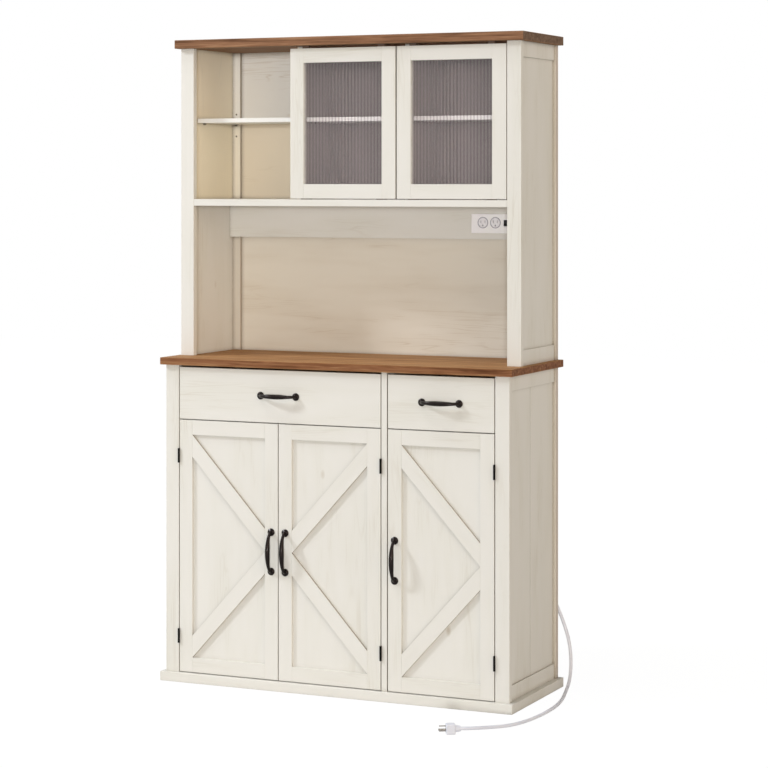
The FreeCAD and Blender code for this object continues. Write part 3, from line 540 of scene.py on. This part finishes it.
# %% [markdown]
# ## Brown stained pine
# The worktop and the cornice are pine under a brown stain and a thin oil: open, streaky grain that runs
# along the board. Edges soak up more stain than the face, so they are darker, and end grain is the darkest
# and turns greyer. Every arris is a little lighter: partly wear where hands and cloths have rubbed it, and
# partly a painted highlight where the rounded edge catches the light. The short streaks between the growth
# lines are drawn 1.5 mm wide, coarser than real ones, so that they show.

# %% Stain the worktop and the cornice
STAIN_GRAIN_WIDTH = 0.008
STAIN_GRAIN_RUN = 0.22
PORE_WIDTH = 0.0015
PORE_RUN = 0.05
PORE_SHARE = 0.3
STAIN_PLACES = (0.37, 0.46, 0.54, 0.64)
ARRIS_ROUND = 0.003
ARRIS_START = 0.86
ARRIS_END = 0.995
ARRIS_LIGHT_AT_MOST = 0.5
STAIN_RELIEF = 0.0005


def stained_pine(name, face_tones, edge_tones, end_tones, wear_and_highlight):
    """Brown stained wood along X: four tones, dark to light, for face, edge and end; wear and painted
    highlight on arrises.
    """
    material, tree = new_material(name)
    along = level_board(tree)
    rings = drawn_out(tree, along, STAIN_GRAIN_RUN, STAIN_GRAIN_WIDTH, detail=3.0, distortion=0.8)
    pores = drawn_out(tree, along, PORE_RUN, PORE_WIDTH, detail=2.0)
    both = add(tree, "ShaderNodeMix", {0: PORE_SHARE, 2: rings, 3: pores}, data_type="FLOAT").outputs[0]
    face, edge, end = (add(tree, "ShaderNodeValToRGB", {0: both}, stops=zip(STAIN_PLACES, tones)).outputs[0]
                       for tones in (face_tones, edge_tones, end_tones))
    flat = add(tree, "ShaderNodeNewGeometry").outputs["Normal"]
    facing = add(tree, "ShaderNodeSeparateXYZ", {0: flat})
    sideways = add(tree, "ShaderNodeMath", {0: facing.outputs["X"]}, operation="ABSOLUTE")
    lying = add(tree, "ShaderNodeMath", {0: facing.outputs["Z"]}, operation="ABSOLUTE")
    standing = add(tree, "ShaderNodeMix", {0: sideways.outputs[0], 6: edge, 7: end}, data_type="RGBA")
    tone = add(tree, "ShaderNodeMix", {0: lying.outputs[0], 6: standing.outputs[2], 7: face},
               data_type="RGBA")
    # Wear and a painted highlight along every arris, where the bevel normal turns away.
    arris = add(tree, "ShaderNodeBevel", {"Radius": ARRIS_ROUND}, samples=4)
    turn = add(tree, "ShaderNodeVectorMath", {0: arris.outputs[0], 1: flat}, operation="DOT_PRODUCT")
    wear_and_highlight_share = add(tree, "ShaderNodeMapRange", {"Value": turn.outputs["Value"], "From Min": ARRIS_START,
                                           "From Max": ARRIS_END, "To Min": ARRIS_LIGHT_AT_MOST, "To Max": 0.0})
    colour = add(tree, "ShaderNodeMix", {0: wear_and_highlight_share.outputs[0], 6: tone.outputs[2], 7: linear(wear_and_highlight)},
                 data_type="RGBA")
    relief = add(tree, "ShaderNodeBump", {"Height": both, "Strength": 0.3, "Distance": STAIN_RELIEF})
    shader = add(tree, "ShaderNodeBsdfPrincipled", {"Base Color": colour.outputs[2], "Roughness": 0.6,
                                                    "IOR": 1.5, "Specular IOR Level": 0.08,
                                                    "Normal": relief.outputs[0]})
    add(tree, "ShaderNodeOutputMaterial", {"Surface": shader.outputs[0]})
    return material


worktop_wood = stained_pine("stained_pine_worktop", face_tones=("#7c4f2e", "#9c7047", "#b08459", "#c69d70"),
                            edge_tones=("#5e3a23", "#7c5236", "#8c6042", "#a27a56"),
                            end_tones=("#593621", "#764d33", "#865b3f", "#9c7452"), wear_and_highlight="#b98c62")
cornice_wood = stained_pine("stained_pine_cornice", face_tones=("#6f4e36", "#846246", "#8f6b4f", "#9d7859"),
                            edge_tones=("#634430", "#7e5b43", "#8c664c", "#a07a5c"),
                            end_tones=("#554031", "#6d5644", "#79604e", "#8a735e"), wear_and_highlight="#a98463")
paint(["countertop"], worktop_wood)
paint(["cornice_board"], cornice_wood)
print("stained:", worktop_wood.name, cornice_wood.name)

# %% [markdown]
# ## Drawer boards and runners
# The drawer boxes are bare birch, and the runners that carry them are beech, hard and close-grained. Both
# show fine even streaks along the board and nothing else, so two tones do.

# %% Birch and beech
BARE_GRAIN_RUN = 0.25
BARE_LIGHT_START = 0.62
BARE_RELIEF = 0.0003


def bare_wood(name, light, dark, width, roughness):
    """Bare close-grained wood whose boards run from front to back."""
    material, tree = new_material(name)
    rings = drawn_out(tree, board_space(tree, "y"), BARE_GRAIN_RUN, width, detail=3.0, distortion=0.4)
    tone = add(tree, "ShaderNodeValToRGB", {0: rings}, stops=[(DARK_END, dark), (BARE_LIGHT_START, light)])
    relief = add(tree, "ShaderNodeBump", {"Height": rings, "Strength": 0.2, "Distance": BARE_RELIEF})
    shader = add(tree, "ShaderNodeBsdfPrincipled", {"Base Color": tone.outputs[0], "IOR": 1.5,
                                                    "Roughness": roughness, "Normal": relief.outputs[0]})
    add(tree, "ShaderNodeOutputMaterial", {"Surface": shader.outputs[0]})
    return material


birch = bare_wood("birch_drawer_board", light="#d9c39c", dark="#c6ab80", width=0.005, roughness=0.55)
beech = bare_wood("beech_runner", light="#c79a6a", dark="#b58555", width=0.003, roughness=0.4)
paint(["drawer_wide_box", "drawer_narrow_box"], birch)
paint(["drawer_runners", "runner_battens", "drawer_wide_guides", "drawer_narrow_guides"], beech)
print("boards:", birch.name, beech.name)

# %% [markdown]
# ## Hardboard
# The back panel of the base is 4 mm hardboard, pressed smooth and sprayed: no grain, only slow clouds of
# tone and a fine orange-peel of some 2 mm.

# %% Spray the hardboard
CLOUD_SIZE = 0.25
PEEL_SIZE = 0.002
PEEL_RELIEF = 0.0002


def hardboard(name, light, dark):
    """Painted fibreboard with an orange-peel."""
    material, tree = new_material(name)
    place = add(tree, "ShaderNodeTexCoord").outputs["Object"]
    clouds = add(tree, "ShaderNodeTexNoise", {"Vector": place, "Scale": 1 / CLOUD_SIZE, "Detail": 3.0})
    peel = add(tree, "ShaderNodeTexNoise", {"Vector": place, "Scale": 1 / PEEL_SIZE, "Detail": 1.0})
    tone = add(tree, "ShaderNodeValToRGB", {0: clouds.outputs[0]},
               stops=[(DARK_END, dark), (LIGHT_START, light)])
    relief = add(tree, "ShaderNodeBump", {"Height": peel.outputs[0], "Strength": 0.15,
                                          "Distance": PEEL_RELIEF})
    shader = add(tree, "ShaderNodeBsdfPrincipled", {"Base Color": tone.outputs[0], "Roughness": 0.6,
                                                    "IOR": 1.5, "Normal": relief.outputs[0]})
    add(tree, "ShaderNodeOutputMaterial", {"Surface": shader.outputs[0]})
    return material


painted_hardboard = hardboard("painted_hardboard", light="#e6e0d3", dark="#ded6c6")
paint(["base_back_panel"], painted_hardboard)
print("back of the base:", painted_hardboard.name)

# %% [markdown]
# ## Handles, hinges, pins and tracks
# The pull handles are cast iron under a dark bronze finish and a thin clear lacquer: nearly black, with
# small sharp glints over a softer sheen. The hinges have a duller black coat. Shelf pins and plug blades
# are bright nickel plate, and the tracks are extruded aluminium under a champagne anodised skin, drawn out
# in fine lines. The skin of a casting is finer than the picture can show, so its spots are drawn 3 mm
# wide. All are metals, so they keep the default IOR, and roughness tells them apart.

# %% Metals
SHEEN_CHANGE = 0.08
METAL_RELIEF = 0.0003
LACQUER_ROUGHNESS = 0.12


def worn_metal(name, light, dark, roughness, spot, strength, run=None, coat=0.0):
    """A metal whose tone and sheen vary over spots, drawn out along X by run, with lacquer of weight coat."""
    material, tree = new_material(name)
    source = drawn_out(tree, level_board(tree), run or spot, spot, detail=2.0)
    tone = add(tree, "ShaderNodeValToRGB", {0: source}, stops=[(DARK_END, dark), (LIGHT_START, light)])
    sheen = add(tree, "ShaderNodeMapRange", {"Value": source, "To Min": roughness - SHEEN_CHANGE,
                                             "To Max": roughness + SHEEN_CHANGE})
    relief = add(tree, "ShaderNodeBump", {"Height": source, "Strength": strength, "Distance": METAL_RELIEF})
    shader = add(tree, "ShaderNodeBsdfPrincipled", {"Base Color": tone.outputs[0], "Metallic": 1.0,
                                                    "Roughness": sheen.outputs[0],
                                                    "Normal": relief.outputs[0], "Coat Weight": coat,
                                                    "Coat Roughness": LACQUER_ROUGHNESS})
    add(tree, "ShaderNodeOutputMaterial", {"Surface": shader.outputs[0]})
    return material


bronze = worn_metal("lacquered_dark_bronze", light="#241c1a", dark="#140f0e", roughness=0.34, spot=0.003,
                    strength=0.25, coat=0.2)
hinge_steel = worn_metal("black_coated_steel", light="#1a1816", dark="#100f0e", roughness=0.5, spot=0.004,
                         strength=0.1)
nickel = worn_metal("nickel_plate", light="#98948f", dark="#75716d", roughness=0.25, spot=0.002,
                    strength=0.05)
track_skin = worn_metal("champagne_anodised_aluminium", light="#a88b6f", dark="#93795f", roughness=0.4,
                        spot=0.0006, strength=0.08, run=0.05)
doors = ["door_left", "door_middle", "door_right"]
paint([name + "_handle" for name in doors + ["drawer_wide", "drawer_narrow"]], bronze)
paint(["hinge_fixed_halves"] + [name + "_hinge_leaves" for name in doors], hinge_steel)
paint(["shelf_pins", "plug_blades"], nickel)
paint(["door_tracks"], track_skin)
print("metals:", bronze.name, hinge_steel.name, nickel.name, track_skin.name)

# %% [markdown]
# ## Plastics
# The outlet plate is glossy moulded white plastic, the switch is black, the box behind is a duller
# grey-white, and the cord and plug are soft matt PVC. The glides of the glazed doors are brown nylon.
# Moulded plastic has an IOR of about 1.46 to 1.53, a slow change of tone over some centimetres, and a fine
# spark-eroded grain of 0.6 mm, which shows in close views only.

# %% Moulded plastics
TONE_CHANGE_SIZE = 1 / 12
SPARK_GRAIN = 0.0006
SPARK_RELIEF = 0.0001


def moulded(name, light, dark, roughness, ior):
    """Moulded plastic with a fine grain and a slow change of tone."""
    material, tree = new_material(name)
    place = add(tree, "ShaderNodeTexCoord").outputs["Object"]
    slow = add(tree, "ShaderNodeTexNoise", {"Vector": place, "Scale": 1 / TONE_CHANGE_SIZE, "Detail": 2.0})
    fine = add(tree, "ShaderNodeTexNoise", {"Vector": place, "Scale": 1 / SPARK_GRAIN, "Detail": 1.0})
    tone = add(tree, "ShaderNodeValToRGB", {0: slow.outputs[0]},
               stops=[(DARK_END, dark), (LIGHT_START, light)])
    relief = add(tree, "ShaderNodeBump", {"Height": fine.outputs[0], "Strength": 0.2,
                                          "Distance": SPARK_RELIEF})
    shader = add(tree, "ShaderNodeBsdfPrincipled", {"Base Color": tone.outputs[0], "IOR": ior,
                                                    "Roughness": roughness, "Normal": relief.outputs[0]})
    add(tree, "ShaderNodeOutputMaterial", {"Surface": shader.outputs[0]})
    return material


white_plastic = moulded("moulded_white_plastic", light="#ffffff", dark="#fdfbff", roughness=0.28, ior=1.53)
box_plastic = moulded("moulded_box_plastic", light="#dcdad4", dark="#d2cfc9", roughness=0.5, ior=1.53)
black_plastic = moulded("moulded_black_plastic", light="#101012", dark="#08080a", roughness=0.35, ior=1.46)
glide_nylon = moulded("brown_nylon_glide", light="#614c3e", dark="#503f34", roughness=0.45, ior=1.53)
cord_pvc = moulded("soft_pvc", light="#eaecf5", dark="#e1e4f0", roughness=0.5, ior=1.52)
paint(["outlet_plate"], white_plastic)
paint(["outlet_box"], box_plastic)
paint(["outlet_switch"], black_plastic)
paint(["glazed_door_middle_glides", "glazed_door_right_glides"], glide_nylon)
paint(["plug_body", "strain_relief"], cord_pvc)
cord.data.materials.append(cord_pvc)
print("plastics:", white_plastic.name, box_plastic.name, black_plastic.name, glide_nylon.name, cord_pvc.name)

# %% [markdown]
# ## The two sockets
# Each socket is a round moulded face, and its rim is painted grey as shade, where it rolls away into the
# shade of its seat. The two faces lie side by side in one node, mirrored about its middle, so the distance
# along X is folded there and one circle serves both.

# %% Ring the sockets
RIM_START = 0.0035
RIM_END = 0.0005


def shade_socket_rims(material, node, tone):
    """Paint shade on the rims of two round faces that lie side by side in a node."""
    tree = material.node_tree
    low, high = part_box(node)
    radius, middle = (high.z - low.z) / 2, (low + high) / 2
    face_middle = (high.x - radius - middle.x, 0.0, middle.z)
    parts = add(tree, "ShaderNodeSeparateXYZ", {0: add(tree, "ShaderNodeTexCoord").outputs["Object"]})
    side = add(tree, "ShaderNodeMath", {0: parts.outputs["X"], 1: middle.x}, operation="SUBTRACT")
    fold = add(tree, "ShaderNodeMath", {0: side.outputs[0]}, operation="ABSOLUTE")
    spot = add(tree, "ShaderNodeCombineXYZ", {0: fold.outputs[0], 2: parts.outputs["Z"]})
    reach = add(tree, "ShaderNodeVectorMath", {0: spot.outputs[0], 1: face_middle}, operation="DISTANCE")
    rim = add(tree, "ShaderNodeMapRange", {"Value": reach.outputs["Value"], "From Min": radius - RIM_START,
                                           "From Max": radius - RIM_END})
    shader = next(n for n in tree.nodes if n.type == "BSDF_PRINCIPLED")
    plain = shader.inputs["Base Color"].links[0].from_socket
    colour = add(tree, "ShaderNodeMix", {0: rim.outputs[0], 6: plain, 7: linear(tone)}, data_type="RGBA")
    tree.links.new(colour.outputs[2], shader.inputs["Base Color"])


socket_plastic = moulded("moulded_socket_plastic", light="#f7f5f9", dark="#f1eff4", roughness=0.35, ior=1.53)
# The grey rim is painted shade.
shade_socket_rims(socket_plastic, "outlet_sockets", "#93909b")
paint(["outlet_sockets"], socket_plastic)
print("sockets:", socket_plastic.name)

# %% [markdown]
# ## Reeded glass
# Rolled glass with a row of upright rounded reeds on one face. The reeds bend light sideways only, so the
# level edge of the shelf behind stays sharp while everything upright dissolves into stripes. The reeds are
# real shape in the mesh. The glass has a faint mauve-grey tint, and in the thin valleys, where the light goes
# out sideways, a deeper tint stands as painted shade. A film of haze comes from the rolling. Shadow rays
# pass straight through with the same tint, because a path tracer would otherwise leave the inside of the
# case black.

# %% Glaze the doors
REEDS = 25
VALLEY_END = 0.12
CREST_START = 0.34
HAZE = 0.10
RIPPLE_SIZE = 1 / 14
RIPPLE_DEPTH = 0.002
SHEEN_LEAST = 0.7
SHEEN_MOST = 1.3


def reeded_glass(name, node, crest_tint, valley_shade_tint, haze_tint, roughness):
    """Tinted glass for one pane, with painted shade in stripes that follow its reeds; shadow rays go through.
    """
    low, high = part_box(node)
    pitch = (high.x - low.x) / REEDS
    material, tree = new_material(name)
    place = add(tree, "ShaderNodeTexCoord").outputs["Object"]
    across = add(tree, "ShaderNodeSeparateXYZ", {0: place})
    count = add(tree, "ShaderNodeMapRange", {"Value": across.outputs["X"], "From Min": low.x,
                                             "From Max": low.x + pitch}, clamp=False)
    reed = add(tree, "ShaderNodeMath", {0: count.outputs[0], 1: HALF_WAVE}, operation="PINGPONG")
    # The valleys carry a deeper tint as painted shade.
    tint = add(tree, "ShaderNodeValToRGB", {0: reed.outputs[0]},
               stops=[(VALLEY_END, valley_shade_tint), (CREST_START, crest_tint)])
    waves = add(tree, "ShaderNodeTexNoise", {"Vector": place, "Scale": 1 / RIPPLE_SIZE, "Detail": 2.0})
    ripple = add(tree, "ShaderNodeBump", {"Height": waves.outputs[0], "Strength": 0.1,
                                          "Distance": RIPPLE_DEPTH})
    sheen = add(tree, "ShaderNodeMapRange", {"Value": waves.outputs[0], "To Min": roughness * SHEEN_LEAST,
                                             "To Max": roughness * SHEEN_MOST})
    glass = add(tree, "ShaderNodeBsdfPrincipled", {"Base Color": tint.outputs[0], "IOR": 1.52,
                                                   "Roughness": sheen.outputs[0],
                                                   "Transmission Weight": 1.0,
                                                   "Normal": ripple.outputs[0]})
    haze = add(tree, "ShaderNodeBsdfDiffuse", {"Color": linear(haze_tint)})
    body = add(tree, "ShaderNodeMixShader", {0: HAZE, 1: glass.outputs[0], 2: haze.outputs[0]})
    clear = add(tree, "ShaderNodeBsdfTransparent", {"Color": linear(crest_tint)})
    rays = add(tree, "ShaderNodeLightPath")
    both = add(tree, "ShaderNodeMixShader", {0: rays.outputs["Is Shadow Ray"], 1: body.outputs[0],
                                             2: clear.outputs[0]})
    add(tree, "ShaderNodeOutputMaterial", {"Surface": both.outputs[0]})
    return material


panes = ("glazed_door_middle_glass", "glazed_door_right_glass")
for node in panes:
    paint([node], reeded_glass("reeded_soda_lime_" + node, node, crest_tint="#edebeb",
                               valley_shade_tint="#cbc5c6", haze_tint="#8f8685", roughness=0.05))
print("glass panes:", len(panes))

# %% [markdown]
# ## What sees plain white
# The studio is white to the camera, and in metal and glass, but it must not light the sideboard as
# strongly as it looks. The kind of ray tells the two apart, so one switch serves the floor and the sky.

# %% Seen rays
def seen_directly(tree):
    """1 for camera, mirror and glass rays, which should see plain white."""
    rays = add(tree, "ShaderNodeLightPath")
    first = add(tree, "ShaderNodeMath", {0: rays.outputs["Is Camera Ray"], 1: rays.outputs["Is Glossy Ray"]},
                operation="MAXIMUM")
    both = add(tree, "ShaderNodeMath", {0: first.outputs[0], 1: rays.outputs["Is Transmission Ray"]},
               operation="MAXIMUM")
    return both.outputs[0]


print("ray switch ready")

# %% [markdown]
# ## The floor
# A large white sheet, a hair below the plinth. Nearly all that the camera sees of it is its own white
# glow. The small rest is matt and keeps a soft shadow of the sideboard.

# %% Lay the floor
FLOOR_HALF = 12.0
FLOOR_DROP = 0.0005
FLOOR_WHITE_SHARE = 0.92
FLOOR_GLOW = 1.06
WHITE = (1.0, 1.0, 1.0, 1.0)

floor_mesh = bpy.data.meshes.new("studio_floor")
floor_mesh.from_pydata([(x, y, 0.0) for x, y in ((-1, -1), (1, -1), (1, 1), (-1, 1))], [], [(0, 1, 2, 3)])
for vertex in floor_mesh.vertices:
    vertex.co *= FLOOR_HALF
floor = bpy.data.objects.new("studio_floor", floor_mesh)
bpy.context.scene.collection.objects.link(floor)
floor.location.z = -FLOOR_DROP
floor_finish, tree = new_material("white_studio_floor")
matt = add(tree, "ShaderNodeBsdfDiffuse", {"Color": linear("#d8d6d2")})
glow = add(tree, "ShaderNodeEmission", {"Color": WHITE, "Strength": FLOOR_GLOW})
share = add(tree, "ShaderNodeMath", {0: seen_directly(tree), 1: FLOOR_WHITE_SHARE}, operation="MULTIPLY")
blend = add(tree, "ShaderNodeMixShader", {0: share.outputs[0], 1: matt.outputs[0], 2: glow.outputs[0]})
add(tree, "ShaderNodeOutputMaterial", {"Surface": blend.outputs[0]})
floor_mesh.materials.append(floor_finish)
print("floor:", 2 * FLOOR_HALF, "m square")

# %% [markdown]
# ## The sky
# A faint warm sky fills the shadows at a low, even level, and is plain white where it is seen.

# %% Raise the sky
SKY_LEVEL = 0.18

world = bpy.data.worlds.new("white_studio")
bpy.context.scene.world = world
world.use_nodes = True
tree = world.node_tree
tree.nodes.clear()
fill = add(tree, "ShaderNodeBackground", {"Color": linear("#fffbf4"), "Strength": SKY_LEVEL})
white = add(tree, "ShaderNodeBackground", {"Color": WHITE, "Strength": 1.0})
sky = add(tree, "ShaderNodeMixShader", {0: seen_directly(tree), 1: fill.outputs[0], 2: white.outputs[0]})
add(tree, "ShaderNodeOutputWorld", {"Surface": sky.outputs[0]})
print("sky:", SKY_LEVEL)

# %% [markdown]
# ## The lamps
# A key lamp from the upper left gives the handles and the braces their soft shadows. A front lamp comes
# from beside the camera, so that it reaches into the open bays and its own shadows hide behind the pieces.
# A wide warm lamp on the right lights the end panels, and one from above the worktop and the cornice.
# Together they bring a colour out about as it is written.

# %% Light the sideboard
def place_light(name, kind, energy, colour, heading, place=(0.0, 0.0, 0.0)):
    """A light of the given kind that shines along the heading; gives its data."""
    data = bpy.data.lights.new(name, kind)
    data.energy = energy
    data.color = linear(colour)[:3]
    light = bpy.data.objects.new(name, data)
    light.location = place
    light.rotation_euler = Vector(heading).to_track_quat("-Z", "Y").to_euler()
    bpy.context.scene.collection.objects.link(light)
    return data


def lamp(name, direction, level, softness, colour="#ffffff"):
    """A far lamp whose light travels along the direction; softness is its width in degrees."""
    place_light(name, "SUN", level, colour, direction).angle = math.radians(softness)


def soft_box(name, place, target, watts, side, colour="#ffffff"):
    """A square soft box that faces the target."""
    place_light(name, "AREA", watts, colour, Vector(target) - Vector(place), place).size = side


soft_box("key_light", place=(-5.2, -2.9, 4.5), target=(0.0, -0.2, 0.9), watts=238.0, side=0.8,
         colour="#f1f7ff")
lamp("front_light", direction=(-0.40, 1.0, -0.03), level=1.0, softness=5.0)
lamp("side_light", direction=(-1.0, 0.6, -0.15), level=1.2, softness=60.0, colour="#ffe6c6")
lamp("top_light", direction=(0.2, 0.3, -1.0), level=0.9, softness=25.0)
bpy.context.scene.view_settings.view_transform = "Standard"
print("lamps:", len(bpy.data.lights))

# %% [markdown]
# ## Finish
# The last call brings the view layer up to date.

# %% Update the view layer
bpy.context.view_layer.update()
